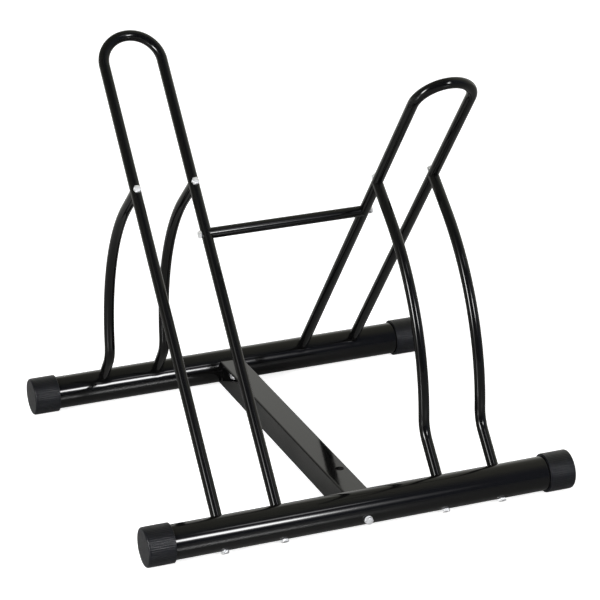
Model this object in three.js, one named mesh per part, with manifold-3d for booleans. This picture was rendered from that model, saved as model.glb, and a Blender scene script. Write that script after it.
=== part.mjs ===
// Floor rack for two bicycles, in millimetres, +Z up.
//
// Two base tubes lie along X, one in front and one behind, and a folded channel ties their
// middles together along Y. Each base tube carries one wheel loop, which leans inwards over the
// other tube, and two curved arms, which rise to meet the legs of the other tube's loop. A short
// bar joins the two inner legs where they cross in side view. Every joint is a bolt.
//
// The rack is the same when it is turned half a turn about Z, so one function makes the half
// that stands on a base tube, and the second half is that half turned round.
//
// The origin is on the floor, under the middle of the rack.

import * as THREE from 'three';
import { mergeVertices } from 'three/addons/utils/BufferGeometryUtils.js';
import Module from 'manifold-3d';

const wasm = await Module();
wasm.setup();

const weldDistance = 1e-4; // between vertices that count as one

// ---------------------------------------------------------------- driving dimensions

const seatGap = 0.3; // between two pieces that bear on each other

const base = {
  diameter: 50,
  wall: 1.5,
  length: 640,
  spacing: 560, // between the axes of the two base tubes, along Y
};

const cap = {
  wall: 3.2,
  length: 40,
  endWall: 2.7,
  edgeRadius: 3,
  facets: 32, // one of them lies flat on the floor
};

const frame = {
  diameter: 16, // the tube of loops, arms and bar
  wall: 1.4,
  lean: THREE.MathUtils.degToRad(40), // of loop legs and arm feet, from vertical
};

const loop = {
  outerLeg: 210.5, // distance of the outer leg from the middle of the rack
  legSpacing: 88,
  armAboveBar: 78.5, // from the bar's bolt to the arm's bolt, along the leg
  crownAboveArm: 199, // from the arm's bolt to the start of the bend at the top
};

const arm = {
  ankleRadius: 50, // of the short bend above the base tube
  dropOffset: 61, // from the base tube's axis to the upright run, along Y
  uprightLength: 5, // of the upright run, between the short bend and the long one
};

const channel = {
  width: 38,
  height: 39,
  sheet: 1.5,
  bendRadius: 2.5,
  topAboveAxis: 17, // from the base tubes' axes up to the top sheet
  cutReach: 105, // from the base tube's axis to the high end of the spanner cut, along Y
  cutFoot: 2.5, // height left at the low end of that cut
  holeDiameter: 13,
  holeInset: 97, // from the base tube's axis to the hole in the top
  holeOffset: 6, // from the channel's middle to that hole
  tabSideGap: 1, // between the end tab and the side wall that is cut
  tabLength: 34,
  boltDrop: 8.5, // from the base tube's axis down to the bolt
};

const bolt = {
  diameter: 5.8,
  clearance: 0.4, // round the shank, in a drilled hole
  threadGap: 0.3, // round the shank, in a thread
  headWidth: 10,
  headHeight: 4,
  engagement: 14, // length of shank inside an insert
  tail: 4, // length of shank past a nut
};

const insert = { length: 18 };
const nut = { width: 10, height: 5 };
const washer = { diameter: 12.5, thickness: 1.2 };

const roundness = {
  baseSides: 36,
  frameSides: 12,
  boltSides: 12,
  holeSides: 24, // of the holes in the channel's top
  saddleSides: 48, // of the hollow that one tube's end has for another
  bendSides: 12, // of a full circle at a folded edge
  crownSteps: 12, // round the half circle at the top of a loop
  sweepSteps: 8,
  ankleSteps: 4,
};

// ---------------------------------------------------------------- sizes that follow

const baseRadius = base.diameter / 2;
const frameRadius = frame.diameter / 2;
const boltRadius = bolt.diameter / 2;
const axisHeight = baseRadius + seatGap + cap.wall;
const halfSpacing = base.spacing / 2;
const innerLeg = loop.outerLeg - loop.legSpacing;
const crownRadius = loop.legSpacing / 2;
const channelTop = axisHeight + channel.topAboveAxis;

const X = new THREE.Vector3(1, 0, 0);
const Y = new THREE.Vector3(0, 1, 0);
const Z = new THREE.Vector3(0, 0, 1);

// Along a loop leg or an arm foot, upwards from the front base tube.
const rise = new THREE.Vector3(0, Math.sin(frame.lean), Math.cos(frame.lean));

// The short bar runs between the inner legs where they cross in side view. These lengths are
// along a leg, from its base tube's axis.
const barJoint = halfSpacing / Math.sin(frame.lean);
const armJoint = barJoint + loop.armAboveBar;
const crownStart = armJoint + loop.crownAboveArm;
const barHeight = axisHeight + barJoint * Math.cos(frame.lean);

// ---------------------------------------------------------------- materials

const gloss = new THREE.MeshStandardMaterial({ color: 0x101113, roughness: 0.12, metalness: 0 });
const sheetGloss = new THREE.MeshStandardMaterial({ color: 0x17181a, roughness: 0.2, metalness: 0 });
const rubber = new THREE.MeshStandardMaterial({ color: 0x1a1a1b, roughness: 0.6, metalness: 0 });
const zinc = new THREE.MeshStandardMaterial({ color: 0xc4c7ca, roughness: 0.3, metalness: 1 });

// ---------------------------------------------------------------- geometry tools

function toSolid(geometry) {
  const bare = geometry.clone();
  bare.deleteAttribute('normal');
  bare.deleteAttribute('uv');
  const merged = mergeVertices(bare, weldDistance);
  const vertProperties = Float32Array.from(merged.attributes.position.array);
  const triVerts = Uint32Array.from(merged.index.array);
  return new wasm.Manifold(new wasm.Mesh({ numProp: 3, vertProperties, triVerts }));
}

function toGeometry(solid) {
  const mesh = solid.getMesh();
  const geometry = new THREE.BufferGeometry();
  geometry.setAttribute('position', new THREE.BufferAttribute(mesh.vertProperties, 3));
  geometry.setIndex(new THREE.BufferAttribute(mesh.triVerts, 1));
  geometry.computeVertexNormals();
  return geometry;
}

/** The first geometry with each of the others taken out of it. */
function cut(geometry, ...tools) {
  let solid = toSolid(geometry);
  for (const tool of tools) solid = solid.subtract(toSolid(tool));
  return toGeometry(solid);
}

function join(...geometries) {
  let solid = toSolid(geometries[0]);
  for (const other of geometries.slice(1)) solid = solid.add(toSolid(other));
  return toGeometry(solid);
}

/** A round bar centred on a point and lying along a direction. */
function bar(radius, length, sides, direction = Z, centre = new THREE.Vector3()) {
  const geometry = new THREE.CylinderGeometry(radius, radius, length, sides);
  geometry.applyQuaternion(new THREE.Quaternion().setFromUnitVectors(Y, direction));
  return geometry.translate(centre.x, centre.y, centre.z);
}

/** A shape pushed along +Z from the origin, with this many sides to a full circle in it. */
function pushed(shape, depth, sides) {
  return new THREE.ExtrudeGeometry(shape, { depth, bevelEnabled: false, curveSegments: sides / 2 });
}

function withHole(shape, radius) {
  shape.holes.push(new THREE.Path().absarc(0, 0, radius, 0, 2 * Math.PI));
  return shape;
}

function ring(outerRadius, innerRadius) {
  return withHole(new THREE.Shape().absarc(0, 0, outerRadius, 0, 2 * Math.PI), innerRadius);
}

function hexagon(width) {
  const corner = width / 2 / Math.cos(Math.PI / 6);
  const corners = [0, 1, 2, 3, 4, 5].map((i) =>
    new THREE.Vector2(corner, 0).rotateAround(new THREE.Vector2(), (i * Math.PI) / 3),
  );
  return new THREE.Shape(corners);
}

function block(min, max) {
  const size = new THREE.Vector3().subVectors(max, min);
  const centre = new THREE.Vector3().addVectors(min, max).multiplyScalar(0.5);
  return new THREE.BoxGeometry(size.x, size.y, size.z).translate(centre.x, centre.y, centre.z);
}

/**
 * The centre line of a bent tube in the plane of Y and Z or of X and Z: straight runs and round
 * bends, one after the other. Its stations are the ends of the runs and even steps of the bends,
 * so a straight run has no needless rings.
 */
class TubeLine extends THREE.Curve {
  constructor(start, heading) {
    super();
    this.points = [start.clone()];
    this.tangents = [heading.clone().normalize()];
  }

  get end() {
    return this.points[this.points.length - 1];
  }

  get heading() {
    return this.tangents[this.tangents.length - 1];
  }

  run(length) {
    this.points.push(this.end.clone().addScaledVector(this.heading, length));
    this.tangents.push(this.heading.clone());
    return this;
  }

  bend(radius, angle, axis, steps) {
    const inward = new THREE.Vector3().crossVectors(axis, this.heading);
    const centre = this.end.clone().addScaledVector(inward, radius);
    const spoke = this.end.clone().sub(centre);
    const heading = this.heading.clone();
    for (let i = 1; i <= steps; i += 1) {
      const turn = (angle * i) / steps;
      this.points.push(centre.clone().add(spoke.clone().applyAxisAngle(axis, turn)));
      this.tangents.push(heading.clone().applyAxisAngle(axis, turn));
    }
    return this;
  }

  get steps() {
    return this.points.length - 1;
  }

  getPointAt(u) {
    return this.points[Math.round(u * this.steps)].clone();
  }

  getTangentAt(u) {
    return this.tangents[Math.round(u * this.steps)].clone();
  }
}

/** A tube of the frame's size along a line, open at both ends. */
function tubeAlong(line) {
  const section = ring(frameRadius, frameRadius - frame.wall);
  const curveSegments = roundness.frameSides / 2;
  return new THREE.ExtrudeGeometry(section, { steps: line.steps, curveSegments, extrudePath: line });
}

function drill(direction, centre, length) {
  return bar(boltRadius + bolt.clearance, length, roundness.boltSides, direction, centre);
}

function piece(name, geometry, material, position = new THREE.Vector3()) {
  const mesh = new THREE.Mesh(geometry, material);
  mesh.name = name;
  mesh.position.copy(position);
  return mesh;
}

function point(mesh, direction) {
  mesh.quaternion.setFromUnitVectors(Z, direction);
  return mesh;
}

// ---------------------------------------------------------------- base tubes and caps

/** Along X through the origin, with the holes for four feet and for the channel's bolt. */
function baseTubeGeometry() {
  const tube = pushed(ring(baseRadius, baseRadius - base.wall), base.length, roundness.baseSides);
  tube.translate(0, 0, -base.length / 2);
  tube.rotateY(Math.PI / 2);

  const through = 2 * base.diameter;
  const footPlaces = [-loop.outerLeg, -innerLeg, innerLeg, loop.outerLeg];
  const footHoles = footPlaces.map((x) => drill(rise, new THREE.Vector3(x, 0, 0), through));
  const channelHole = drill(Y, new THREE.Vector3(0, 0, -channel.boltDrop), through);
  return cut(tube, ...footHoles, channelHole);
}

/** A cup that slides over a tube's end. Its rim is at the origin, and its closed end is at +X. */
function capGeometry() {
  const bore = baseRadius + seatGap;
  const corner = axisHeight / Math.cos(Math.PI / cap.facets);
  const outline = new THREE.Path();
  outline.moveTo(0, cap.length - cap.endWall);
  outline.lineTo(bore, cap.length - cap.endWall);
  outline.lineTo(bore, 0);
  outline.lineTo(corner, 0);
  outline.lineTo(corner, cap.length - cap.edgeRadius);
  outline.absarc(corner - cap.edgeRadius, cap.length - cap.edgeRadius, cap.edgeRadius, 0, Math.PI / 2);
  outline.lineTo(0, cap.length);
  const halfFacet = Math.PI / cap.facets;
  const cup = new THREE.LatheGeometry(outline.getPoints(1), cap.facets, halfFacet);
  return toGeometry(toSolid(cup)).rotateZ(-Math.PI / 2);
}

// ---------------------------------------------------------------- loops, arms and bar

/**
 * A hairpin of tube in the plane of X and Z. The origin is on the base tube's axis, midway
 * between the legs, and the legs run along Z. The arms come from the side of +Y.
 */
function loopGeometry() {
  const line = new TubeLine(new THREE.Vector3(-crownRadius, 0, 0), Z)
    .run(crownStart)
    .bend(crownRadius, Math.PI, Y, roundness.crownSteps)
    .run(crownStart);
  const through = 2 * frame.diameter;
  const armHoles = [-crownRadius, crownRadius].map((x) =>
    drill(Y, new THREE.Vector3(x, 0, armJoint), through),
  );
  const barHole = drill(X, new THREE.Vector3(crownRadius, 0, barJoint), through);
  return cut(tubeAlong(line), baseTubeSaddle(), ...armHoles, barHole);
}

/** What an end has to be hollowed by, so that it seats on the base tube along X. */
function baseTubeSaddle() {
  return bar(baseRadius + seatGap, base.length, roundness.saddleSides, X);
}

/** What an end has to be hollowed by, so that it seats on a leg that leans towards +Y or -Y. */
function legSaddle(centre, towards) {
  const direction = new THREE.Vector3(0, towards * Math.sin(frame.lean), Math.cos(frame.lean));
  return bar(frameRadius + seatGap, 4 * frame.diameter, roundness.saddleSides, direction, centre);
}

/** Where the arm's axis meets the leg's, from the arm's base tube. */
function armTop() {
  const y = base.spacing - armJoint * Math.sin(frame.lean);
  const z = armJoint * Math.cos(frame.lean);
  return new THREE.Vector3(0, y, z);
}

/** Along an arm's top end, away from the leg that it meets, which is square to it. */
const armTopInward = new THREE.Vector3(0, -Math.cos(frame.lean), -Math.sin(frame.lean));

/**
 * A curved arm in the plane of Y and Z, from the base tube's axis to the other loop's leg: a
 * leaning foot, a short bend, an upright run, a long bend and a straight top square to the leg.
 * The long bend's radius is the one that brings the top run onto the leg.
 */
function armGeometry() {
  const top = armTop();
  const sine = Math.sin(frame.lean);
  const cosine = Math.cos(frame.lean);
  const ankleReach = arm.ankleRadius * Math.tan(frame.lean / 2);
  const footRun = arm.dropOffset / sine - ankleReach;
  const sweepFoot = arm.dropOffset / Math.tan(frame.lean) + ankleReach + arm.uprightLength;

  const across = top.y - arm.dropOffset;
  const up = top.z - sweepFoot;
  const sweepRadius = (up * cosine - across * sine) / (1 - sine);
  const topRun = (across - sweepRadius * (1 - sine)) / cosine;

  const line = new TubeLine(new THREE.Vector3(), rise)
    .run(footRun)
    .bend(arm.ankleRadius, frame.lean, X, roundness.ankleSteps)
    .run(arm.uprightLength)
    .bend(sweepRadius, Math.PI / 2 - frame.lean, X.clone().negate(), roundness.sweepSteps)
    .run(topRun);
  return cut(tubeAlong(line), baseTubeSaddle(), legSaddle(top, -1));
}

/** Along X through the origin, hollowed at each end by the inner leg that it meets. */
function barGeometry() {
  const line = new TubeLine(new THREE.Vector3(-innerLeg, 0, 0), X).run(2 * innerLeg);
  const leftLeg = legSaddle(new THREE.Vector3(-innerLeg, 0, 0), 1);
  const rightLeg = legSaddle(new THREE.Vector3(innerLeg, 0, 0), -1);
  return cut(tubeAlong(line), leftLeg, rightLeg);
}

// ---------------------------------------------------------------- channel

/** The folded sheet between the base tubes, open underneath, along Y. */
function channelGeometry() {
  const sheet = pushed(channelSection(), base.spacing, roundness.bendSides);
  sheet.translate(0, 0, -base.spacing / 2);
  sheet.rotateX(Math.PI / 2);

  const frontSaddle = baseTubeSaddle().translate(0, -halfSpacing, axisHeight);
  const rearSaddle = baseTubeSaddle().translate(0, halfSpacing, axisHeight);
  const boltHole = drill(Y, new THREE.Vector3(0, 0, axisHeight - channel.boltDrop), base.spacing);
  const folded = join(sheet, endTab(), endTab().rotateZ(Math.PI));
  const holes = [topHole(), topHole().rotateZ(Math.PI)];
  const spannerCuts = [spannerCut(), spannerCut().rotateZ(Math.PI)];
  return cut(folded, frontSaddle, rearSaddle, boltHole, ...holes, ...spannerCuts);
}

/** The channel's section in X and Z, drawn in the shape's own x and y. */
function channelSection() {
  const outer = channel.width / 2;
  const inner = outer - channel.sheet;
  const bottom = channelTop - channel.height;
  const bendHeight = channelTop - channel.bendRadius;
  const bendPlace = outer - channel.bendRadius;
  const innerRadius = channel.bendRadius - channel.sheet;
  const quarter = Math.PI / 2;

  const section = new THREE.Shape();
  section.moveTo(-outer, bottom);
  section.lineTo(-inner, bottom);
  section.absarc(-bendPlace, bendHeight, innerRadius, Math.PI, quarter, true);
  section.absarc(bendPlace, bendHeight, innerRadius, quarter, 0, true);
  section.lineTo(inner, bottom);
  section.lineTo(outer, bottom);
  section.absarc(bendPlace, bendHeight, channel.bendRadius, 0, quarter);
  section.absarc(-bendPlace, bendHeight, channel.bendRadius, quarter, Math.PI);
  return section;
}

/** Where the front end tab's face bears on the front base tube. */
const tabFace = -(halfSpacing - baseRadius - seatGap);

/** The upright tab at the front end, under the top sheet and fixed to the left side wall. */
function endTab() {
  const inner = channel.width / 2 - channel.sheet;
  const top = channelTop - channel.sheet / 2;
  const min = new THREE.Vector3(-inner - channel.sheet / 2, tabFace, top - channel.tabLength);
  const max = new THREE.Vector3(inner - channel.tabSideGap, tabFace + channel.sheet, top);
  return block(min, max);
}

/** The round hole in the top, near the front end. */
function topHole() {
  const centre = new THREE.Vector3(channel.holeOffset, -halfSpacing + channel.holeInset, channelTop);
  const through = 4 * channel.sheet;
  return bar(channel.holeDiameter / 2, through, roundness.holeSides, Z, centre);
}

/** What slants the front end of the right side wall, from its foot up to the folded edge. */
function spannerCut() {
  const low = channelTop - channel.height + channel.cutFoot;
  const high = channelTop - channel.bendRadius;
  const wedge = new THREE.Shape();
  wedge.moveTo(-halfSpacing, low);
  wedge.lineTo(-halfSpacing + baseRadius / 2, low);
  wedge.lineTo(-halfSpacing + channel.cutReach, high);
  wedge.lineTo(-halfSpacing, high);
  // The wedge is drawn in Y and Z, and its depth runs along X from just inside the wall.
  const tool = pushed(wedge, 2 * channel.sheet, roundness.bendSides);
  tool.applyMatrix4(new THREE.Matrix4().makeBasis(Y, Z, X));
  return tool.translate(channel.width / 2 - channel.sheet - seatGap, 0, 0);
}

// ---------------------------------------------------------------- fasteners

/** The shank runs along +Z from the origin, and the head is below it. */
function boltGeometry(length) {
  const head = pushed(hexagon(bolt.headWidth), bolt.headHeight, roundness.boltSides);
  head.translate(0, 0, -bolt.headHeight);
  const overlap = bolt.headHeight / 2;
  const middle = new THREE.Vector3(0, 0, (length - overlap) / 2);
  return join(head, bar(boltRadius, length + overlap, roundness.boltSides, Z, middle));
}

/** A threaded plug for a tube's end, along +Z from the origin. */
function insertGeometry() {
  const shape = ring(frameRadius - frame.wall - seatGap, boltRadius + bolt.threadGap);
  return pushed(shape, insert.length, roundness.frameSides);
}

function nutGeometry() {
  const shape = withHole(hexagon(nut.width), boltRadius + bolt.threadGap);
  return pushed(shape, nut.height, roundness.boltSides);
}

function washerGeometry() {
  const shape = ring(washer.diameter / 2, boltRadius + bolt.clearance);
  return pushed(shape, washer.thickness, roundness.boltSides);
}

/**
 * A bolt through one piece into the insert in a tube's end. Both lie along a direction, and
 * `centre` is on the axis of the piece that the bolt passes through, of this radius.
 */
function boltedEnd(name, centre, direction, radius) {
  const seat = radius + seatGap;
  const head = centre.clone().addScaledVector(direction, -seat);
  const plug = centre.clone().addScaledVector(direction, seat);
  const shank = 2 * seat + bolt.engagement;
  return [
    point(piece(`${name}_bolt`, boltGeometry(shank), zinc, head), direction),
    point(piece(`${name}_insert`, insertGeometry(), zinc, plug), direction),
  ];
}

/** The bolt, washer and nut that hold the channel's front end tab to the front base tube. */
function channelFastening(tube) {
  const at = (y) => new THREE.Vector3(0, y, axisHeight - channel.boltDrop);
  const washerFace = -halfSpacing - baseRadius - seatGap - washer.thickness;
  const headFace = washerFace - seatGap;
  const nutFace = tabFace + channel.sheet + seatGap;
  const shank = nutFace + nut.height + bolt.tail - headFace;
  return [
    point(piece(`channel_${tube}_washer`, washerGeometry(), zinc, at(washerFace)), Y),
    point(piece(`channel_${tube}_bolt`, boltGeometry(shank), zinc, at(headFace)), Y),
    point(piece(`channel_${tube}_nut`, nutGeometry(), zinc, at(nutFace)), Y),
  ];
}

// ---------------------------------------------------------------- assembly

/**
 * Everything that stands on the front base tube: the tube, its caps, the loop on one side and
 * the two arms on the other, with their bolts. The sides are named as they are in the rack.
 */
function halfRack(tube, loopSide, armSide) {
  const half = new THREE.Group();
  const onAxis = (x) => new THREE.Vector3(x, -halfSpacing, axisHeight);

  half.add(piece(`${tube}_base_tube`, baseTubeGeometry(), gloss, onAxis(0)));

  const rim = base.length / 2 + seatGap + cap.endWall - cap.length;
  const loopEndCap = piece(`${tube}_${loopSide}_cap`, capGeometry(), rubber, onAxis(-rim));
  loopEndCap.rotation.z = Math.PI;
  half.add(loopEndCap, piece(`${tube}_${armSide}_cap`, capGeometry(), rubber, onAxis(rim)));

  const loopCentre = onAxis(-innerLeg - crownRadius);
  const loopMesh = piece(`${loopSide}_wheel_loop`, loopGeometry(), gloss, loopCentre);
  loopMesh.rotation.x = -frame.lean;
  half.add(loopMesh);

  for (const [place, x] of [['inner', innerLeg], ['outer', loop.outerLeg]]) {
    const armName = `${armSide}_${place}_arm`;
    half.add(piece(armName, armGeometry(), gloss, onAxis(x)));
    half.add(...boltedEnd(`${armName}_foot`, onAxis(x), rise, baseRadius));
    half.add(...boltedEnd(`${armName}_top`, armTop().add(onAxis(x)), armTopInward, frameRadius));
    half.add(...boltedEnd(`${loopSide}_loop_${place}_foot`, onAxis(-x), rise, baseRadius));
  }

  const barEnd = new THREE.Vector3(-innerLeg, 0, barHeight);
  half.add(...boltedEnd(`cross_bar_${loopSide}`, barEnd, X, frameRadius));
  half.add(...channelFastening(tube));
  return half;
}

const rack = new THREE.Group();
rack.name = 'floor_bike_rack';

const rearHalf = halfRack('rear', 'right', 'left');
rearHalf.rotation.z = Math.PI;
rack.add(halfRack('front', 'left', 'right'), rearHalf);

rack.add(piece('cross_bar', barGeometry(), gloss, new THREE.Vector3(0, 0, barHeight)));
rack.add(piece('cross_member', channelGeometry(), sheetGloss));

export default rack;
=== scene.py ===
"""The looks of the floor bike rack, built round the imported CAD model.

Shapes are drawn in millimetres in the CAD model's own frame, with the same sizes, and become
metres when their mesh is made. The rear half of the rack is the front half turned half a turn
about Z. Every visible CAD node is replaced by a smooth piece of the same size in the same place,
apart from the channel's end tabs, which reach 3 mm further down, and its top sheet, which falls a
little to one side. The threaded inserts, hidden inside the tubes, keep their CAD shape.
"""

import math

import bmesh
import bpy
import numpy as np
from mathutils import Matrix, Vector


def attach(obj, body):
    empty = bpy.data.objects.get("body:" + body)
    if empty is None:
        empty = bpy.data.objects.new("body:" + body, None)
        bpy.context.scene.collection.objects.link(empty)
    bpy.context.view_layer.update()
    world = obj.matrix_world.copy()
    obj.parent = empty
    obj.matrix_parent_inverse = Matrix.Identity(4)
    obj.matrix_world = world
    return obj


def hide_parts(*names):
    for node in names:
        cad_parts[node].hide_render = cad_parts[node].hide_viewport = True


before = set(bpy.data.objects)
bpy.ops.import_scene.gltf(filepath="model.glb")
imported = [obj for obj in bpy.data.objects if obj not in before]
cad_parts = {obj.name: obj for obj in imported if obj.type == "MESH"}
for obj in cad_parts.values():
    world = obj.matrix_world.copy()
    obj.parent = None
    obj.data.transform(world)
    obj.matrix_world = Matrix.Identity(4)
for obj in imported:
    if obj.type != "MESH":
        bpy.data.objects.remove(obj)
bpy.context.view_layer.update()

MM = 0.001

# ---------------------------------------------------------------- sizes, in millimetres

BASE_RADIUS = 25.0
BASE_WALL = 1.5
BASE_LENGTH = 640.0
HALF_SPACING = 280.0
AXIS_HEIGHT = 28.5

CAP_RADIUS = 28.5
CAP_BORE = 25.1
CAP_RIM = 283.0
CAP_END = 323.0
CAP_END_WALL = 2.7
CAP_EDGE = 3.0  # rounding of the closed end
CAP_LIP = 0.7  # rounding of the rim's outside
CAP_BORE_LIP = 0.3  # rounding of the rim's inside
CAP_FLUTES = 60
CAP_FLUTE_DEPTH = 0.26
CAP_FLUTE_START = 2.0  # over this length from the lip the flutes get their full depth
CAP_FLUTE_ROOT = CAP_BORE + 1.0  # only what lies further out is fluted

TUBE_RADIUS = 8.0
TUBE_WALL = 1.4
LIP = 0.35  # rounding of a tube's cut end
LEAN = math.radians(40)
OUTER_LEG = 210.5
INNER_LEG = 122.5
CROWN_RADIUS = (OUTER_LEG - INNER_LEG) / 2
ARM_ABOVE_BAR = 78.5
CROWN_ABOVE_ARM = 199.0

ANKLE_RADIUS = 50.0
DROP_OFFSET = 61.0
UPRIGHT_LENGTH = 5.0

CHANNEL_WIDTH = 38.0
CHANNEL_HEIGHT = 39.0
CHANNEL_TOP = 45.5
SHEET = 1.5
FOLD_RADIUS = 2.5
SHEET_EDGE = 0.3  # rounding of the sheet's lower edges
SHEET_FALL = 0.48  # the folded sheet's top is that much lower on its right side
CUT_REACH = 105.0
CUT_FOOT = 2.5
HOLE_RADIUS = 6.5
HOLE_INSET = 97.0
HOLE_OFFSET = 6.0
TAB_SIDE_GAP = 1.0
TAB_LENGTH = 37.0  # 3 mm more than in the CAD model
BOLT_DROP = 8.5  # the channel's bolts lie that far under the base tubes' axes

SEAT_GAP = 0.3  # between pieces that bear on each other
SHANK_RADIUS = 2.9
DRILL_RADIUS = 3.3
HEAD_WIDTH = 10.0
HEAD_HEIGHT = 4.0
HEAD_FLOOR = 0.35  # thickness of the round bearing face under a head
HEAD_FLOOR_TAPER = 0.1
CHAMFER_START = 0.96 * HEAD_WIDTH / 2
CHAMFER_SLOPE = math.tan(math.radians(30))
TIP_LENGTH = 0.6
TIP_INSET = 0.5
ENGAGEMENT = 14.0
TAIL = 4.0
THREAD_PITCH = 1.0
THREAD_DEPTH = 0.35
THREADED = 14.0  # length of the thread on the channel's bolts
NUT_HEIGHT = 5.0
NUT_BORE = SHANK_RADIUS + 0.05
NUT_CHAMFER = 0.4
WASHER_RADIUS = 6.25
WASHER_BORE = SHANK_RADIUS + 0.4
WASHER_THICKNESS = 1.2
WASHER_EDGE = 0.2

# A foot that is bolted down presses a shallow hollow into the base tube.
DIMPLE_DEPTH = 0.3
DIMPLE_RADIUS = 15.0
FOOT_SEAT = BASE_RADIUS - 0.2
LEG_SEAT = TUBE_RADIUS + 0.05
SHEET_SEAT = BASE_RADIUS + 0.05

BAR_JOINT = HALF_SPACING / math.sin(LEAN)
ARM_JOINT = BAR_JOINT + ARM_ABOVE_BAR
CROWN_START = ARM_JOINT + CROWN_ABOVE_ARM
BAR_HEIGHT = AXIS_HEIGHT + BAR_JOINT * math.cos(LEAN)

X = np.array([1.0, 0.0, 0.0])
Y = np.array([0.0, 1.0, 0.0])
Z = np.array([0.0, 0.0, 1.0])
ORIGIN = np.zeros(3)
RISE = np.array([0.0, math.sin(LEAN), math.cos(LEAN)])  # up the left loop's legs
RIGHT_RISE = RISE * np.array([1.0, -1.0, 1.0])  # up the right loop's legs
ARM_TOP_INWARD = np.array([0.0, -math.cos(LEAN), -math.sin(LEAN)])
ARM_TOP = np.array(
    [0.0, 2 * HALF_SPACING - ARM_JOINT * math.sin(LEAN), ARM_JOINT * math.cos(LEAN)]
)
FEET = (-OUTER_LEG, -INNER_LEG, INNER_LEG, OUTER_LEG)
TAB_FACE = -(HALF_SPACING - BASE_RADIUS - SEAT_GAP)

# ---------------------------------------------------------------- how finely shapes are drawn

BASE_SIDES = 144
TUBE_SIDES = 64
CAP_SIDES = 6 * CAP_FLUTES
HEX_SIDES = 72
ROUND_SIDES = 48
DRILL_SIDES = 24

CROWN_STEPS = 72
ANKLE_STEPS = 20
SWEEP_STEPS = 60
BASE_STEP = 20.0  # between a base tube's rings
DIMPLE_STEP = 1.0  # between its rings near a foot

LIP_TURNS = np.radians((0, 30, 60, 90))  # round the lip of a tube's cut end

# Extra rings that keep long smooth faces true in their shading.
LEG_SUPPORT = 120.0
LIP_SUPPORTS = (0.3, 1.5)
FOLD_SUPPORT = 0.3
CAP_SIDE_RINGS = (1.4, 2.2, 3.0, 12.0, 24.0, 33.0)
CAP_FACE_RINGS = (24.0, 20.0)

SEAT_CUT_SIDES = 4 * TUBE_SIDES
SEAT_CUT_LENGTH = 100.0  # of what hollows the channel to sit on a base tube
THROUGH = 2.4  # a drill is that many times as long as the radius of what it goes through
SHARP_ANGLE = 35  # degrees: sharper edges stay crisp
ROUNDED_SHARP_ANGLE = 50  # on pieces whose roundings have few steps

# ---------------------------------------------------------------- camera


def make_camera():
    """The photograph's viewpoint, from a fit to the rack's straight tubes."""
    tilt, roll, turn = 0.37501222, -0.01766289, 0.36382127
    focal_pixels, picture_pixels = 2622.087, 600.0
    rack_from_camera = Vector((-14.2502, 223.5381, 3942.3722)) * MM

    # The rows of `view` are the camera's right, down and forward, in the rack's frame.
    level = Matrix(((1, 0, 0), (0, 0, -1), (0, 1, 0)))
    swing = Matrix.Rotation(turn, 3, "Z")
    dip = Matrix.Rotation(tilt, 3, "X")
    twist = Matrix.Rotation(roll, 3, "Z")
    view = twist @ dip @ level @ swing
    right, down, forward = view

    data = bpy.data.cameras.new("camera")
    data.sensor_fit = "HORIZONTAL"
    data.sensor_width = 36.0
    data.lens = data.sensor_width * focal_pixels / picture_pixels
    camera = bpy.data.objects.new("camera", data)
    bpy.context.scene.collection.objects.link(camera)
    facing = Matrix((right, -down, -forward)).transposed()
    place = -(view.transposed() @ rack_from_camera)
    camera.matrix_world = Matrix.Translation(place) @ facing.to_4x4()
    bpy.context.scene.camera = camera


# ---------------------------------------------------------------- mesh tools
#
# A shape is a pair of a vertex array, in millimetres, and a list of faces.


def loft(rings, closed=True):
    """Quads between rings of the same size. A closed loft joins the last ring to the first; an
    open one has a flat face on each end."""
    count, size = len(rings), len(rings[0])
    faces = []
    for i in range(count if closed else count - 1):
        a, b = i * size, (i + 1) % count * size
        faces += [(a + j, a + (j + 1) % size, b + (j + 1) % size, b + j) for j in range(size)]
    if not closed:
        last = (count - 1) * size
        faces += [tuple(range(size - 1, -1, -1)), tuple(range(last, last + size))]
    return np.concatenate(rings), faces


def joined(shapes):
    """Several shapes as one."""
    vertices, faces, start = [], [], 0
    for points, polygons in shapes:
        vertices.append(points)
        faces += [tuple(start + i for i in polygon) for polygon in polygons]
        start += len(points)
    return np.concatenate(vertices), faces


def placed(shape, direction=Z, origin=ORIGIN):
    """A shape drawn along +Z, pointed along a direction and moved."""
    points, faces = shape
    turn = Vector(Z).rotation_difference(Vector(direction)).to_matrix()
    return points @ np.array(turn).T + origin, faces


def half_turned(shape):
    """A shape of the front half, as it is in the rear half."""
    points, faces = shape
    return points * np.array([-1.0, -1.0, 1.0]), faces


def unit(vector):
    return vector / np.linalg.norm(vector)


def make_mesh(name, shape, sharp_angle=SHARP_ANGLE):
    """A mesh object in metres. Edges that are sharper than the angle, in degrees, stay crisp."""
    points, faces = shape
    mesh = bpy.data.meshes.new(name)
    mesh.from_pydata((points * MM).tolist(), [], faces)
    finish_mesh(mesh, sharp_angle)
    piece = bpy.data.objects.new(name, mesh)
    bpy.context.scene.collection.objects.link(piece)
    return piece


def finish_mesh(mesh, sharp_angle):
    work = bmesh.new()
    work.from_mesh(mesh)
    bmesh.ops.recalc_face_normals(work, faces=work.faces)
    for face in work.faces:
        face.smooth = True
    for edge in work.edges:
        edge.smooth = edge.calc_face_angle(0) < math.radians(sharp_angle)
    work.to_mesh(mesh)
    work.free()


def apply_modifiers(piece):
    depsgraph = bpy.context.evaluated_depsgraph_get()
    done = bpy.data.meshes.new_from_object(piece.evaluated_get(depsgraph))
    piece.modifiers.clear()
    old, piece.data = piece.data, done
    bpy.data.meshes.remove(old)


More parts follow.
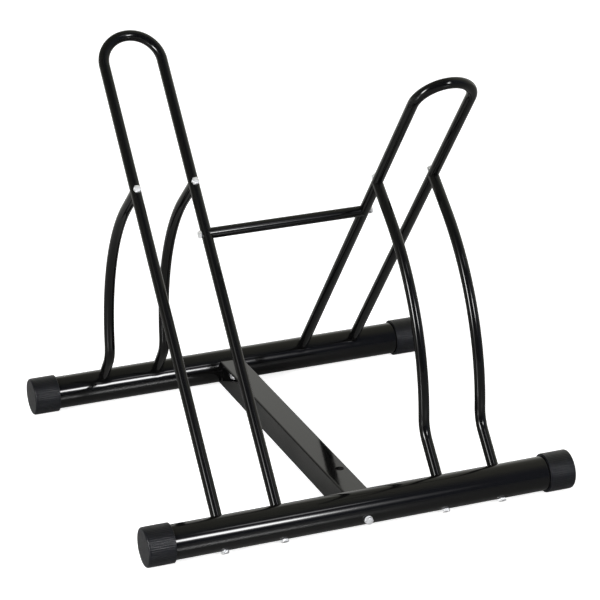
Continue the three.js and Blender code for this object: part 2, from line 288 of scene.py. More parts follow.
def combine(piece, shape, operation, sharp_angle=SHARP_ANGLE):
    """The piece with a shape taken out of it ("DIFFERENCE") or added to it ("UNION")."""
    tool = make_mesh("tool", shape)
    modifier = piece.modifiers.new("combine", "BOOLEAN")
    modifier.object = tool
    modifier.operation = operation
    modifier.solver = "EXACT"
    apply_modifiers(piece)
    bpy.data.objects.remove(tool)
    finish_mesh(piece.data, sharp_angle)
    return piece


def circle(radius, sides, height=0.0):
    angles = 2 * np.pi * np.arange(sides) / sides
    return np.stack([radius * np.cos(angles), radius * np.sin(angles), np.full(sides, height)], 1)


def turned(profile, sides, closed=True):
    """A profile of (radius, height) points, turned about Z."""
    return loft([circle(radius, sides, height) for radius, height in profile], closed)


def rod(radius, length, sides=ROUND_SIDES, direction=Z, centre=ORIGIN):
    shape = turned([(radius, -length / 2), (radius, length / 2)], sides, closed=False)
    return placed(shape, direction, centre)


def drill(length, direction, centre):
    return rod(DRILL_RADIUS, length, DRILL_SIDES, direction, centre)


def arc(centre, radius, start, stop, steps):
    """Points on an arc, with its angles in degrees."""
    angles = np.radians(np.linspace(start, stop, steps + 1))
    return [(centre[0] + radius * np.cos(a), centre[1] + radius * np.sin(a)) for a in angles]


# ---------------------------------------------------------------- bent tubes


class TubeLine:
    """The centre line of a tube that is bent in one plane, as rings at (point, direction)."""

    def __init__(self, start, heading, across):
        self.points = [np.array(start, float)]
        self.headings = [unit(np.array(heading, float))]
        self.across = across

    def run(self, length):
        self.points.append(self.points[-1] + self.headings[-1] * length)
        self.headings.append(self.headings[-1])
        return self

    def bend(self, radius, angle, steps):
        """A bend about `across`: it turns the way a right hand's fingers point."""
        towards_centre = np.sign(angle) * np.cross(self.across, self.headings[-1])
        centre = self.points[-1] + towards_centre * radius
        spoke, heading = self.points[-1] - centre, self.headings[-1]
        for i in range(1, steps + 1):
            turn = np.array(Matrix.Rotation(angle * i / steps, 3, Vector(self.across)))
            self.points.append(centre + turn @ spoke)
            self.headings.append(turn @ heading)
        return self

    def offsets(self, index, radius):
        """The ring's points round the centre line at a station, less the station itself."""
        side = np.cross(self.across, self.headings[index])
        angles = 2 * np.pi * np.arange(TUBE_SIDES) / TUBE_SIDES
        return radius * (np.outer(np.cos(angles), side) + np.outer(np.sin(angles), self.across))


def seat_reach(offsets, away, axis, radius):
    """How far along `away` lines that start at these offsets from an axis leave the surface of
    that radius round it."""
    start = offsets - np.outer(offsets @ axis, axis)
    step = away - (away @ axis) * axis
    a = step @ step
    b = start @ step
    c = (start**2).sum(1) - radius**2
    return (-b + np.sqrt(b * b - a * c)) / a


def seated_tube(line, first_seat, last_seat):
    """A tube with a wall, whose ends are hollowed to sit on round pieces. The line starts and
    ends on the axes of those pieces, and a seat is their (axis, radius)."""
    outer, inner = TUBE_RADIUS, TUBE_RADIUS - TUBE_WALL

    def end_ring(index, away, seat, radius, extra):
        offsets = line.offsets(index, radius)
        reach = seat_reach(offsets, away, *seat) + extra
        return line.points[index] + offsets + np.outer(reach, away)

    def rounded_end(index, away, seat):
        """Rings from the bore over the rounded lip to the outside."""
        rings = [end_ring(index, away, seat, inner, 0.0)]
        for turn in LIP_TURNS:
            radius = outer - LIP * (1 - math.sin(turn))
            rings.append(end_ring(index, away, seat, radius, LIP * (1 - math.cos(turn))))
        rings += [end_ring(index, away, seat, outer, LIP + step) for step in LIP_SUPPORTS]
        return rings

    stations = range(1, len(line.points) - 1)
    outside = [line.points[i] + line.offsets(i, outer) for i in stations]
    inside = [line.points[i] + line.offsets(i, inner) for i in stations]
    start = rounded_end(0, line.headings[0], first_seat)
    end = rounded_end(-1, -line.headings[-1], last_seat)
    return loft(start + outside + end[::-1] + inside[::-1])


def leaned(shape):
    """A shape drawn upright on a base tube's axis, leaned like the left loop."""
    points, faces = shape
    turn = np.array(Matrix.Rotation(-LEAN, 3, "X"))
    return points @ turn.T, faces


def on_front_axis(shape, x=0.0):
    """A shape drawn round the origin, moved to the front base tube's axis."""
    points, faces = shape
    return points + np.array([x, -HALF_SPACING, AXIS_HEIGHT]), faces


def wheel_loop():
    """The left loop, which stands on the front base tube and leans backwards."""
    foot_seat = (X, FOOT_SEAT)
    line = TubeLine((-CROWN_RADIUS, 0, 0), Z, Y)
    line.run(LEG_SUPPORT).run(CROWN_START - LEG_SUPPORT)
    line.bend(CROWN_RADIUS, math.pi, CROWN_STEPS)
    line.run(CROWN_START - LEG_SUPPORT).run(LEG_SUPPORT)
    return seated_tube(line, foot_seat, foot_seat)


def wheel_loop_holes():
    length = THROUGH * TUBE_RADIUS
    holes = [
        drill(length, Y, np.array([-CROWN_RADIUS, 0, ARM_JOINT])),
        drill(length, Y, np.array([CROWN_RADIUS, 0, ARM_JOINT])),
        drill(length, X, np.array([CROWN_RADIUS, 0, BAR_JOINT])),
    ]
    return joined(holes)


def curved_arm():
    """An arm from the front base tube up to the leg of the right loop."""
    sine, cosine = math.sin(LEAN), math.cos(LEAN)
    ankle_reach = ANKLE_RADIUS * math.tan(LEAN / 2)
    foot_run = DROP_OFFSET / sine - ankle_reach
    sweep_foot = DROP_OFFSET / math.tan(LEAN) + ankle_reach + UPRIGHT_LENGTH
    across = ARM_TOP[1] - DROP_OFFSET
    up = ARM_TOP[2] - sweep_foot
    sweep_radius = (up * cosine - across * sine) / (1 - sine)
    top_run = (across - sweep_radius * (1 - sine)) / cosine

    line = TubeLine(ORIGIN, RISE, X)
    line.run(foot_run)
    line.bend(ANKLE_RADIUS, LEAN, ANKLE_STEPS)
    line.run(UPRIGHT_LENGTH)
    line.bend(sweep_radius, -(math.pi / 2 - LEAN), SWEEP_STEPS)
    line.run(top_run)
    return seated_tube(line, (X, FOOT_SEAT), (RIGHT_RISE, LEG_SEAT))


def cross_bar():
    line = TubeLine((-INNER_LEG, 0, BAR_HEIGHT), X, Y)
    line.run(INNER_LEG).run(INNER_LEG)
    return seated_tube(line, (RISE, LEG_SEAT), (RIGHT_RISE, LEG_SEAT))


# ---------------------------------------------------------------- base tubes and caps


def base_tube():
    """Along X through the origin, with a shallow hollow under each foot."""
    half = BASE_LENGTH / 2
    stations = {-half, half} | set(np.arange(-half + BASE_STEP, half - 1, BASE_STEP))
    reach = DIMPLE_RADIUS + DIMPLE_STEP
    for foot in FEET:
        stations |= set(np.round(foot + np.arange(-reach, reach + 0.1, DIMPLE_STEP), 3))
    stations = np.array(sorted(stations))

    angles = 2 * np.pi * np.arange(BASE_SIDES) / BASE_SIDES
    round_section = np.stack([np.zeros(BASE_SIDES), np.cos(angles), np.sin(angles)], 1)
    foot_angle = math.atan2(RISE[2], RISE[1])
    around = BASE_RADIUS * np.abs((angles - foot_angle + np.pi) % (2 * np.pi) - np.pi)

    def outer_ring(x):
        depth = np.zeros(BASE_SIDES)
        for foot in FEET:
            near = np.clip(1 - (around**2 + (x - foot) ** 2) / DIMPLE_RADIUS**2, 0, 1)
            depth += DIMPLE_DEPTH * near**2
        return x * X + (BASE_RADIUS - depth)[:, None] * round_section

    ends = stations[[-1, 0]]
    outside = [outer_ring(x) for x in stations]
    inside = [x * X + (BASE_RADIUS - BASE_WALL) * round_section for x in ends]
    return loft(outside + inside)


def base_tube_holes():
    length = THROUGH * BASE_RADIUS
    holes = [drill(length, RISE, foot * X) for foot in FEET]
    return joined(holes + [drill(length, Y, -BOLT_DROP * Z)])


def end_cap():
    """The cup at the right end of the front base tube, drawn along +Z with its rim at zero."""
    length = CAP_END - CAP_RIM
    floor = length - CAP_END_WALL
    inside = [(CAP_FACE_RINGS[-1], floor), (CAP_BORE, floor)]
    inside += arc((CAP_BORE + CAP_BORE_LIP, CAP_BORE_LIP), CAP_BORE_LIP, 180, 270, 2)
    outside = arc((CAP_RADIUS - CAP_LIP, CAP_LIP), CAP_LIP, 270, 360, 4)
    outside += [(CAP_RADIUS, z) for z in CAP_SIDE_RINGS]
    outside += arc((CAP_RADIUS - CAP_EDGE, length - CAP_EDGE), CAP_EDGE, 0, 90, 8)
    outside += [(radius, length) for radius in CAP_FACE_RINGS]

    angles = 2 * np.pi * np.arange(CAP_SIDES) / CAP_SIDES
    flute = CAP_FLUTE_DEPTH * (0.5 + 0.5 * np.cos(CAP_FLUTES * angles))

    def ring(radius, height):
        rise = min(max((height - CAP_LIP) / CAP_FLUTE_START, 0), 1)
        fall = min(max((length - height) / CAP_EDGE, 0), 1)
        reach = radius - flute * rise * fall * (radius > CAP_FLUTE_ROOT)
        heights = np.full(CAP_SIDES, height)
        return np.stack([reach * np.cos(angles), reach * np.sin(angles), heights], 1)

    return loft([ring(*point) for point in inside + outside], closed=False)


# ---------------------------------------------------------------- channel


def channel_section():
    """The folded sheet's outline in X and Z."""
    outer = CHANNEL_WIDTH / 2
    inner = outer - SHEET
    bottom = CHANNEL_TOP - CHANNEL_HEIGHT
    fold_x, fold_z = outer - FOLD_RADIUS, CHANNEL_TOP - FOLD_RADIUS
    edge, flat = SHEET_EDGE, FOLD_SUPPORT
    right = arc((outer - edge, bottom + edge), edge, 270, 360, 3)
    right += [(outer, bottom + edge + flat), (outer, fold_z - flat)]
    right += arc((fold_x, fold_z), FOLD_RADIUS, 0, 90, 8) + [(fold_x - flat, CHANNEL_TOP)]
    inside = [(fold_x - flat, CHANNEL_TOP - SHEET)]
    inside += arc((fold_x, fold_z), FOLD_RADIUS - SHEET, 90, 0, 6)
    inside += [(inner, fold_z - flat), (inner, bottom + edge + flat)]
    inside += arc((inner + edge, bottom + edge), edge, 180, 270, 3)
    left = [(-x, z) for x, z in right[::-1]]
    left_inside = [(-x, z) for x, z in inside[::-1]]
    section = right + left + left_inside + inside
    fall = SHEET_FALL / CHANNEL_WIDTH
    return [(x, z - fall * (x + outer) if z >= fold_z - flat else z) for x, z in section]


def cross_member():
    """The folded sheet with an upright tab at each end, its seats, holes and cuts."""
    section = channel_section()
    rings = [np.array([(x, y, z) for x, z in section]) for y in (-HALF_SPACING, HALF_SPACING)]
    piece = make_mesh("cross_member_sheet", loft(rings, closed=False))

    inner = CHANNEL_WIDTH / 2 - SHEET
    tab_top = CHANNEL_TOP - SHEET / 2
    tab = box_shape(
        (-inner - SHEET / 2, TAB_FACE, tab_top - TAB_LENGTH),
        (inner - TAB_SIDE_GAP, TAB_FACE + SHEET, tab_top),
    )
    combine(piece, joined([tab, half_turned(tab)]), "UNION")

    hole_centre = np.array([HOLE_OFFSET, -HALF_SPACING + HOLE_INSET, CHANNEL_TOP])
    for shape in (
        on_front_axis(rod(SHEET_SEAT, SEAT_CUT_LENGTH, SEAT_CUT_SIDES, X)),
        rod(HOLE_RADIUS, 4 * SHEET, TUBE_SIDES, Z, hole_centre),
        spanner_cut(),
    ):
        combine(piece, joined([shape, half_turned(shape)]), "DIFFERENCE")
    bolt_axis = np.array([0, 0, AXIS_HEIGHT - BOLT_DROP])
    return combine(piece, drill(2 * HALF_SPACING, Y, bolt_axis), "DIFFERENCE")


def box_shape(low, high):
    corners = ((low[0], low[1]), (high[0], low[1]), (high[0], high[1]), (low[0], high[1]))
    rings = [np.array([(x, y, z) for x, y in corners], float) for z in (low[2], high[2])]
    return loft(rings, closed=False)


def spanner_cut():
    """What slants the front end of the right side wall, for a spanner on the nut."""
    low = CHANNEL_TOP - CHANNEL_HEIGHT + CUT_FOOT
    high = CHANNEL_TOP - FOLD_RADIUS
    start = -HALF_SPACING
    outline = [
        (start, low),
        (start + BASE_RADIUS / 2, low),
        (start + CUT_REACH, high),
        (start, high),
    ]
    first = CHANNEL_WIDTH / 2 - SHEET - SEAT_GAP
    rings = [np.array([(x, y, z) for y, z in outline]) for x in (first, first + 2 * SHEET)]
    return loft(rings, closed=False)


# ---------------------------------------------------------------- fasteners


def hexagon(width, height, limit=None):
    """A hexagon's ring. On a chamfered face `limit` is (radius, slope): the ring rises by the
    slope where it is further out than the radius."""
    angles = 2 * np.pi * np.arange(HEX_SIDES) / HEX_SIDES
    sixth = np.pi / 3
    reach = width / 2 / np.cos(angles % sixth - sixth / 2)
    heights = np.full(HEX_SIDES, float(height))
    if limit:
        start, slope = limit
        heights += slope * np.clip(reach - start, 0, None)
    return np.stack([reach * np.cos(angles), reach * np.sin(angles), heights], 1)


def threads(start, stop):
    """(radius, height) points of a thread's crests and roots."""
    root, crest = SHANK_RADIUS - THREAD_DEPTH, SHANK_RADIUS
    turn = ((root, 0.15), (crest, 0.45), (crest, 0.6), (root, 0.9))
    points, z = [], start
    while z + THREAD_PITCH < stop:
        points += [(radius, z + share * THREAD_PITCH) for radius, share in turn]
        z += THREAD_PITCH
    return points


def hex_bolt(length, threaded=0.0):
    """The shank runs along +Z from the origin, and the head is below it."""
    rings = [
        circle(CHAMFER_START, HEX_SIDES, -HEAD_HEIGHT),
        hexagon(HEAD_WIDTH, -HEAD_HEIGHT, (CHAMFER_START, CHAMFER_SLOPE)),
        hexagon(HEAD_WIDTH, -HEAD_FLOOR),
        circle(CHAMFER_START, HEX_SIDES, -HEAD_FLOOR),
        circle(CHAMFER_START - HEAD_FLOOR_TAPER, HEX_SIDES, 0),
        circle(SHANK_RADIUS, HEX_SIDES, 0),
    ]
    end = length - TIP_LENGTH
    for radius, height in threads(end - threaded, end):
        rings.append(circle(radius, HEX_SIDES, height))
    rings.append(circle(SHANK_RADIUS, HEX_SIDES, end))
    rings.append(circle(SHANK_RADIUS - TIP_INSET, HEX_SIDES, length))
    return loft(rings, closed=False)


def hex_nut():
    bore, mouth = NUT_BORE, NUT_BORE + NUT_CHAMFER
    return loft(
        [
            circle(bore, HEX_SIDES, NUT_CHAMFER),
            circle(mouth, HEX_SIDES, 0),
            circle(CHAMFER_START, HEX_SIDES, 0),
            hexagon(HEAD_WIDTH, 0, (CHAMFER_START, CHAMFER_SLOPE)),
            hexagon(HEAD_WIDTH, NUT_HEIGHT, (CHAMFER_START, -CHAMFER_SLOPE)),
            circle(CHAMFER_START, HEX_SIDES, NUT_HEIGHT),
            circle(mouth, HEX_SIDES, NUT_HEIGHT),
            circle(bore, HEX_SIDES, NUT_HEIGHT - NUT_CHAMFER),
        ]
    )


def washer():
    profile = [
        (WASHER_BORE, 0),
        (WASHER_RADIUS - WASHER_EDGE, 0),
        (WASHER_RADIUS, WASHER_EDGE),
        (WASHER_RADIUS, WASHER_THICKNESS - WASHER_EDGE),
        (WASHER_RADIUS - WASHER_EDGE, WASHER_THICKNESS),
        (WASHER_BORE, WASHER_THICKNESS),
    ]
    return turned(profile, ROUND_SIDES)


# ---------------------------------------------------------------- materials

# Noise patterns: (scale, detail, roughness).
PAINT_DRIFT = (22, 3, 0.55)
PAINT_WEAR = (60, 4, 0.6)
PAINT_FLOW = (70, 1, 0.5)
PAINT_PEEL = (420, 1.5, 0.5)
PLASTIC_MOTTLE = (90, 4, 0.6)
PLASTIC_WEAR = (150, 3, 0.6)
PLASTIC_GRAIN = (2600, 2, 0.6)
ZINC_MOTTLE = (500, 4, 0.65)
ZINC_WEAR = (700, 3, 0.6)
ZINC_MARKS = (1800, 3, 0.6)

NOISE_RANGE = (0.3, 0.7)  # where most of a noise's values lie

PAINT_IOR = 1.36
PAINT_DARKEST = 0.75  # of the tint
PAINT_SMOOTHEST, PAINT_ROUGHEST = 0.8, 1.25  # of the roughness
FLOW_HEIGHT = 3  # times the height of the peel

PLASTIC_IOR = 1.37
PLASTIC_LIGHTEST = 1.5  # of the tint
PLASTIC_ROUGHNESS = (0.32, 0.40)
GRAIN_HEIGHT = 0.00003

ZINC_DARKEST, ZINC_LIGHTEST = (0.88, 0.89, 0.90, 1), (0.96, 0.96, 0.97, 1)
ZINC_METALLIC = 0.8
ZINC_ROUGHNESS = (0.42, 0.60)
MARK_HEIGHT = 0.00002


class Nodes:
    """Short forms for building a node tree."""

    def __init__(self, tree):
        self.tree = tree
        tree.nodes.clear()

    def add(self, kind, inputs=None, **settings):
        """A node. Each of its inputs is a socket to link from or a plain value."""
        node = self.tree.nodes.new(kind)
        for key, value in settings.items():
            setattr(node, key, value)
        for key, value in (inputs or {}).items():
            socket = node.inputs[key]
            if isinstance(value, bpy.types.NodeSocket):
                self.tree.links.new(value, socket)
            else:
                socket.default_value = value
        return node

    def coordinates(self):
        return self.add("ShaderNodeTexCoord").outputs["Object"]

    def noise(self, where, pattern):
        scale, detail, roughness = pattern
        inputs = {"Vector": where, "Scale": scale, "Detail": detail, "Roughness": roughness}
        return self.add("ShaderNodeTexNoise", inputs).outputs["Fac"]

    def drift(self, where, pattern, low, high):
        """A noise that is brought from its usual values to a range."""
        usual_low, usual_high = NOISE_RANGE
        noise = self.noise(where, pattern)
        inputs = {"Value": noise, 1: usual_low, 2: usual_high, 3: low, 4: high}
        return self.add("ShaderNodeMapRange", inputs).outputs["Result"]

    def bump(self, height, distance, normal=None):
        inputs = {"Height": height, "Distance": distance, "Strength": 1.0}
        if normal:
            inputs["Normal"] = normal
        return self.add("ShaderNodeBump", inputs).outputs["Normal"]

    def smooth(self, value, edges, low=0.0, high=1.0):
        """A smooth step from one value to another between the two edges."""
        inputs = {"Value": value, 1: edges[0], 2: edges[1], 3: low, 4: high}
        node = self.add("ShaderNodeMapRange", inputs, interpolation_type="SMOOTHSTEP")
        return node.outputs["Result"]

    def blend(self, factor, first, second):
        """A colour between two: 0, 6 and 7 are the sockets of a node that mixes colours."""
        node = self.add("ShaderNodeMix", {0: factor, 6: first, 7: second}, data_type="RGBA")
        return node.outputs[2]

    def maths(self, operation, first, second):
        return self.add("ShaderNodeMath", {0: first, 1: second}, operation=operation).outputs[0]

    def vector(self, operation, inputs):
        return self.add("ShaderNodeVectorMath", inputs, operation=operation)

    def emission(self, colour, strength=1.0):
        inputs = {"Color": colour, "Strength": strength}
        return self.add("ShaderNodeEmission", inputs).outputs[0]

    def mix(self, factor, first, second):
        return self.add("ShaderNodeMixShader", {0: factor, 1: first, 2: second}).outputs[0]


def new_material(name):
    material = bpy.data.materials.new(name)
    material.use_nodes = True
    return material, Nodes(material.node_tree)


def surface(nodes, inputs):
    shader = nodes.add("ShaderNodeBsdfPrincipled", inputs)
    nodes.add("ShaderNodeOutputMaterial", {"Surface": shader.outputs["BSDF"]})


def shaded(tint, factor=1.0):
    """A tint as an opaque colour, made lighter or darker."""
    return (*(factor * channel for channel in tint), 1)


def gloss_powder_coat(name, tint, roughness, peel):
    """Smooth glossy paint: a very fine orange peel, and a faint drift in tint and gloss."""
    material, nodes = new_material(name)
    where = nodes.coordinates()
    tone = nodes.drift(where, PAINT_DRIFT, 0, 1)
    smoothest, roughest = roughness * PAINT_SMOOTHEST, roughness * PAINT_ROUGHEST
    flow = nodes.bump(nodes.noise(where, PAINT_FLOW), peel * FLOW_HEIGHT)
    surface(
        nodes,
        {
            "Base Color": nodes.blend(tone, shaded(tint, PAINT_DARKEST), shaded(tint)),
            "Roughness": nodes.drift(where, PAINT_WEAR, smoothest, roughest),
            "IOR": PAINT_IOR,
            "Normal": nodes.bump(nodes.noise(where, PAINT_PEEL), peel, flow),
        },
    )
    return material


def moulded_plastic(name, tint):
    """Satin moulded rubber: a fine grain, and lighter scuffs where it is handled."""
    material, nodes = new_material(name)
    where = nodes.coordinates()
    mottle = nodes.drift(where, PLASTIC_MOTTLE, 0, 1)
    surface(
        nodes,
        {
            "Base Color": nodes.blend(mottle, shaded(tint), shaded(tint, PLASTIC_LIGHTEST)),
            "Roughness": nodes.drift(where, PLASTIC_WEAR, *PLASTIC_ROUGHNESS),
            "IOR": PLASTIC_IOR,
            "Normal": nodes.bump(nodes.noise(where, PLASTIC_GRAIN), GRAIN_HEIGHT),
        },
    )
    return material


def zinc_plate(name):
    """Bright zinc plating: metal with a fine mottle and faint rub marks."""
    material, nodes = new_material(name)
    where = nodes.coordinates()
    mottle = nodes.drift(where, ZINC_MOTTLE, 0, 1)
    surface(
        nodes,
        {
            "Base Color": nodes.blend(mottle, ZINC_DARKEST, ZINC_LIGHTEST),
            "Metallic": ZINC_METALLIC,
            "Roughness": nodes.drift(where, ZINC_WEAR, *ZINC_ROUGHNESS),
            "Normal": nodes.bump(nodes.noise(where, ZINC_MARKS), MARK_HEIGHT),
        },
    )
    return material


MATERIALS = {
    "frame_gloss": gloss_powder_coat("frame_gloss_paint", (0.0041, 0.0041, 0.0041), 0.055, 2.5e-6),
    "sheet_gloss": gloss_powder_coat("sheet_gloss_paint", (0.0048, 0.0048, 0.0048), 0.065, 4e-6),
    "end_cap": moulded_plastic("end_cap_plastic", (0.0034, 0.0037, 0.0054)),
    "zinc": zinc_plate("zinc_plate"),
}

# ---------------------------------------------------------------- pieces


def stand_for(node, piece, slot):
    """Puts a finished piece in the place of a CAD node."""
    piece.name = f"{node}_surface"
    piece.data.materials.clear()
    piece.data.materials.append(MATERIALS[slot])
    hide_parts(node)
    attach(piece, "root")


def add_both(front_node, rear_node, shape, slot, sharp_angle=SHARP_ANGLE, holes=None):
    """A piece of the front half, and its partner of the rear half."""
    for node, turn in ((front_node, lambda same: same), (rear_node, half_turned)):
        piece = make_mesh(node, turn(shape), sharp_angle)
        if holes:
            combine(piece, turn(holes), "DIFFERENCE", sharp_angle)
        stand_for(node, piece, slot)


def add_end_bolts(front_name, rear_name, centre, direction, radius):
    """The bolt through a tube of that radius at a point of its axis, into the end beyond it."""
    seat = radius + SEAT_GAP
    bolt = placed(hex_bolt(2 * seat + ENGAGEMENT), direction, centre - seat * direction)
    add_both(f"{front_name}_bolt", f"{rear_name}_bolt", bolt, "zinc")


def build_rack():
    tube, holes = on_front_axis(base_tube()), on_front_axis(base_tube_holes())
    add_both("front_base_tube", "rear_base_tube", tube, "frame_gloss", holes=holes)
    right_cap = on_front_axis(placed(end_cap(), X, CAP_RIM * X))
    left_cap = on_front_axis(placed(end_cap(), -X, -CAP_RIM * X))
    add_both("front_right_cap", "rear_left_cap", right_cap, "end_cap", ROUNDED_SHARP_ANGLE)
    add_both("front_left_cap", "rear_right_cap", left_cap, "end_cap", ROUNDED_SHARP_ANGLE)

    loop_x = -(INNER_LEG + CROWN_RADIUS)
    add_both(
        "left_wheel_loop",
        "right_wheel_loop",
        on_front_axis(leaned(wheel_loop()), loop_x),
        "frame_gloss",
        ROUNDED_SHARP_ANGLE,
        on_front_axis(leaned(wheel_loop_holes()), loop_x),
    )

    arm = curved_arm()
    for place, x in (("inner", INNER_LEG), ("outer", OUTER_LEG)):
        right, left = f"right_{place}_arm", f"left_{place}_arm"
        add_both(right, left, on_front_axis(arm, x), "frame_gloss", ROUNDED_SHARP_ANGLE)
        foot = np.array([x, -HALF_SPACING, AXIS_HEIGHT])
        top = foot + ARM_TOP
        add_end_bolts(f"{right}_foot", f"{left}_foot", foot, RISE, BASE_RADIUS)
        add_end_bolts(f"{right}_top", f"{left}_top", top, ARM_TOP_INWARD, TUBE_RADIUS)
        left, right = f"left_loop_{place}_foot", f"right_loop_{place}_foot"
        add_end_bolts(left, right, foot * np.array([-1, 1, 1]), RISE, BASE_RADIUS)

    bar_end = np.array([-INNER_LEG, 0, BAR_HEIGHT])
    add_end_bolts("cross_bar_left", "cross_bar_right", bar_end, X, TUBE_RADIUS)
    bar = make_mesh("cross_bar_tube", cross_bar(), ROUNDED_SHARP_ANGLE)
    stand_for("cross_bar", bar, "frame_gloss")

    stand_for("cross_member", cross_member(), "sheet_gloss")
    add_channel_bolts()


def add_channel_bolts():
    """A bolt through each base tube and the channel's tab, with its washer and nut."""
    washer_face = -HALF_SPACING - BASE_RADIUS - SEAT_GAP - WASHER_THICKNESS
    head_face = washer_face - SEAT_GAP
    nut_face = TAB_FACE + SHEET + SEAT_GAP
    shank = nut_face + NUT_HEIGHT + TAIL - head_face
    for name, shape, y in (
        ("washer", washer(), washer_face),
        ("bolt", hex_bolt(shank, THREADED), head_face),
        ("nut", hex_nut(), nut_face),
    ):
        middle = np.array([0, y, AXIS_HEIGHT - BOLT_DROP])
        front, rear = f"channel_front_{name}", f"channel_rear_{name}"
        add_both(front, rear, placed(shape, Y, middle), "zinc")


def dress_inserts():
    """The threaded inserts keep their CAD shape and get the zinc finish."""
    for name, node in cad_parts.items():
        if name.endswith("_insert"):
            for slot in node.material_slots:
                slot.material = MATERIALS["zinc"]


# ---------------------------------------------------------------- studio, in metres

WHITE = (1, 1, 1, 1)

# How a lamp fades: (distance from its middle, brightness), both as fractions.
KEY_EDGE = ((0.0, 1.0), (0.28, 1.0), (0.36, 0.5), (0.50, 0.09), (0.70, 0.025), (1.0, 0.0))
SOFT_EDGE = ((0.0, 1.0), (0.5, 0.8), (1.0, 0.0))

# Name, middle, size, radiance, edge, and turn about the line of sight in degrees.
LAMPS = (
    ("key_softbox", (1.53, -5.40, 2.74), (1.95, 3.6), 42, KEY_EDGE, 4),
    ("side_softbox", (-2.99, -1.54, 1.28), (1.7, 4.0), 40, KEY_EDGE, 0),
    ("upper_softbox", (1.08, -2.46, 2.95), (0.60, 0.60), 6, SOFT_EDGE, 0),
)
LAMP_AIM = Vector((0, 0, 0.1))

# What reflections see. A pair is the edges of a smooth step in a direction's X, Y or Z.
BACKDROP_FROM_BACK = (0.0, 0.35)  # in Y
BACKDROP_FROM_TOP = (0.70, 0.33)  # in Z
BACKDROP_FROM_LEFT = (-0.45, -0.05)  # in X
BACKDROP_LEFT = 0.15  # what is left of the backdrop on the left
BACKDROP_WHITE = (1, 1, 0.95, 1)
STUDIO_FRONT = (0.105, 0.118, 0.170, 1)
STUDIO_TOP = (0.375, 0.375, 0.315, 1)
STUDIO_FROM_FRONT = (-0.70, 0.05)  # in Y
STUDIO_LEFT, STUDIO_RIGHT = 0.50, 2.0  # brightness on either side
STUDIO_FROM_LEFT = (0.0, 0.65)  # in X
AMBIENT = (0.35, 0.35, 0.35, 1)

FLOOR_HALF_SIDE = 30.0
FLOOR_TO_BACKDROP = (0.4, 2.5)  # in Y, where the grey floor goes over into the backdrop
FLOOR_GREY = (0.41, 0.41, 0.40, 1)
FLOOR_ROUGHNESS = 0.18
FLOOR_IOR = 1.5
FLOOR_PAPER = (0.8, 0.8, 0.8, 1)
FLOOR_GLOW = 0.80


def make_softbox(name, middle, size, radiance, steps, turn):
    """An oval lamp that faces the rack, brightest in the middle."""
    data = bpy.data.lights.new(name, "AREA")
    data.shape = "RECTANGLE"
    data.size, data.size_y = size
    data.energy = radiance * math.pi * size[0] * size[1]
    data.use_nodes = True

    nodes = Nodes(data.node_tree)
    place = nodes.add("ShaderNodeNewGeometry").outputs["Parametric"]
    from_middle = nodes.vector("SUBTRACT", {0: place, 1: (0.5, 0.5, 0.0)}).outputs[0]
    flat = nodes.vector("MULTIPLY", {0: from_middle, 1: (2.0, 2.0, 0.0)}).outputs[0]
    distance = nodes.vector("LENGTH", {0: flat}).outputs["Value"]
    ramp = nodes.add("ShaderNodeValToRGB", {"Fac": distance})
    points = ramp.color_ramp.elements
    while len(points) < len(steps):
        points.new(0.5)
    for point, (position, brightness) in zip(points, steps):
        point.position = position
        point.color = (brightness, brightness, brightness, 1)
    nodes.add("ShaderNodeOutputLight", {"Surface": nodes.emission(ramp.outputs["Color"])})

    lamp = bpy.data.objects.new(name, data)
    bpy.context.scene.collection.objects.link(lamp)
    away = Vector(middle) - LAMP_AIM
    facing = away.to_track_quat("Z", "Y").to_matrix().to_4x4()
    spin = Matrix.Rotation(math.radians(turn), 4, "Z")
    lamp.matrix_world = Matrix.Translation(Vector(middle)) @ facing @ spin
    lamp.visible_camera = False


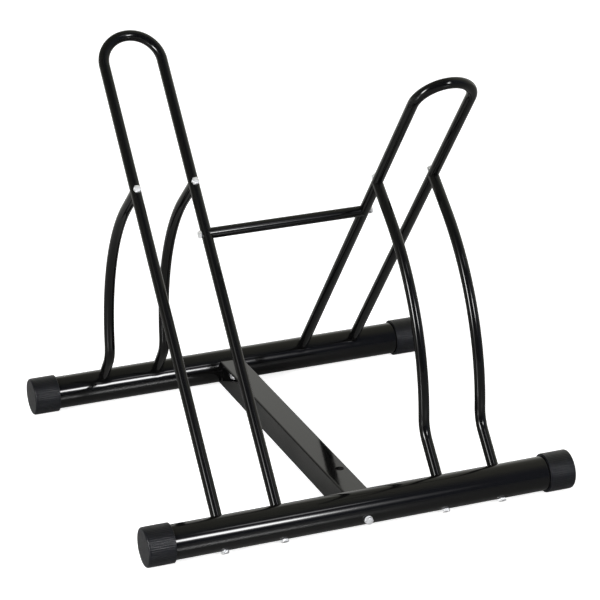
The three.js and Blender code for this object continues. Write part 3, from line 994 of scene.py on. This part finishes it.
def make_world():
    """White to the camera. Reflections see the white backdrop behind the rack, and a dimmer
    studio above it and on the camera's side."""
    world = bpy.data.worlds.new("studio")
    bpy.context.scene.world = world
    world.use_nodes = True
    nodes = Nodes(world.node_tree)
    path = nodes.add("ShaderNodeLightPath").outputs
    direction = nodes.add("ShaderNodeTexCoord").outputs["Generated"]
    split = nodes.add("ShaderNodeSeparateXYZ", {0: direction}).outputs

    behind = nodes.smooth(split["Y"], BACKDROP_FROM_BACK)
    below = nodes.smooth(split["Z"], BACKDROP_FROM_TOP)
    across = nodes.smooth(split["X"], BACKDROP_FROM_LEFT, BACKDROP_LEFT, 1.0)
    backdrop = nodes.maths("MULTIPLY", nodes.maths("MULTIPLY", behind, below), across)
    studio = nodes.blend(nodes.smooth(split["Y"], STUDIO_FROM_FRONT), STUDIO_FRONT, STUDIO_TOP)
    sideways = nodes.smooth(split["X"], STUDIO_FROM_LEFT, STUDIO_LEFT, STUDIO_RIGHT)
    scaled = nodes.vector("SCALE", {0: studio, "Scale": sideways}).outputs[0]
    seen = nodes.blend(backdrop, scaled, BACKDROP_WHITE)

    mirrored = nodes.maths("MAXIMUM", path["Is Glossy Ray"], path["Is Transmission Ray"])
    lit = nodes.blend(mirrored, AMBIENT, seen)
    colour = nodes.blend(path["Is Camera Ray"], lit, WHITE)
    background = nodes.add("ShaderNodeBackground", {"Color": colour, "Strength": 1.0})
    nodes.add("ShaderNodeOutputWorld", {"Surface": background.outputs[0]})


def make_floor():
    """White to the camera, with the rack's soft shadow. Reflections see a glossy grey floor in
    front that goes over into the white backdrop."""
    mesh = bpy.data.meshes.new("floor")
    side = FLOOR_HALF_SIDE
    corners = [(-side, -side, 0), (side, -side, 0), (side, side, 0), (-side, side, 0)]
    mesh.from_pydata(corners, [], [(0, 1, 2, 3)])
    floor = bpy.data.objects.new("floor", mesh)
    bpy.context.scene.collection.objects.link(floor)
    material, nodes = new_material("studio_floor")
    mesh.materials.append(material)

    path = nodes.add("ShaderNodeLightPath").outputs
    split = nodes.add("ShaderNodeSeparateXYZ", {0: nodes.coordinates()}).outputs
    gloss = {"Base Color": FLOOR_GREY, "Roughness": FLOOR_ROUGHNESS, "IOR": FLOOR_IOR}
    grey = nodes.add("ShaderNodeBsdfPrincipled", gloss).outputs[0]
    back = nodes.smooth(split["Y"], FLOOR_TO_BACKDROP)
    reflected = nodes.mix(back, grey, nodes.emission(BACKDROP_WHITE))

    paper = nodes.add("ShaderNodeBsdfDiffuse", {"Color": FLOOR_PAPER}).outputs[0]
    glowing = {0: paper, 1: nodes.emission(WHITE, FLOOR_GLOW)}
    direct = nodes.add("ShaderNodeAddShader", glowing).outputs[0]
    chosen = nodes.mix(path["Is Camera Ray"], reflected, direct)
    nodes.add("ShaderNodeOutputMaterial", {"Surface": chosen})


# ---------------------------------------------------------------- scene

make_camera()
build_rack()
dress_inserts()
for lamp in LAMPS:
    make_softbox(*lamp)
make_world()
make_floor()

bpy.context.scene.view_settings.view_transform = "Standard"
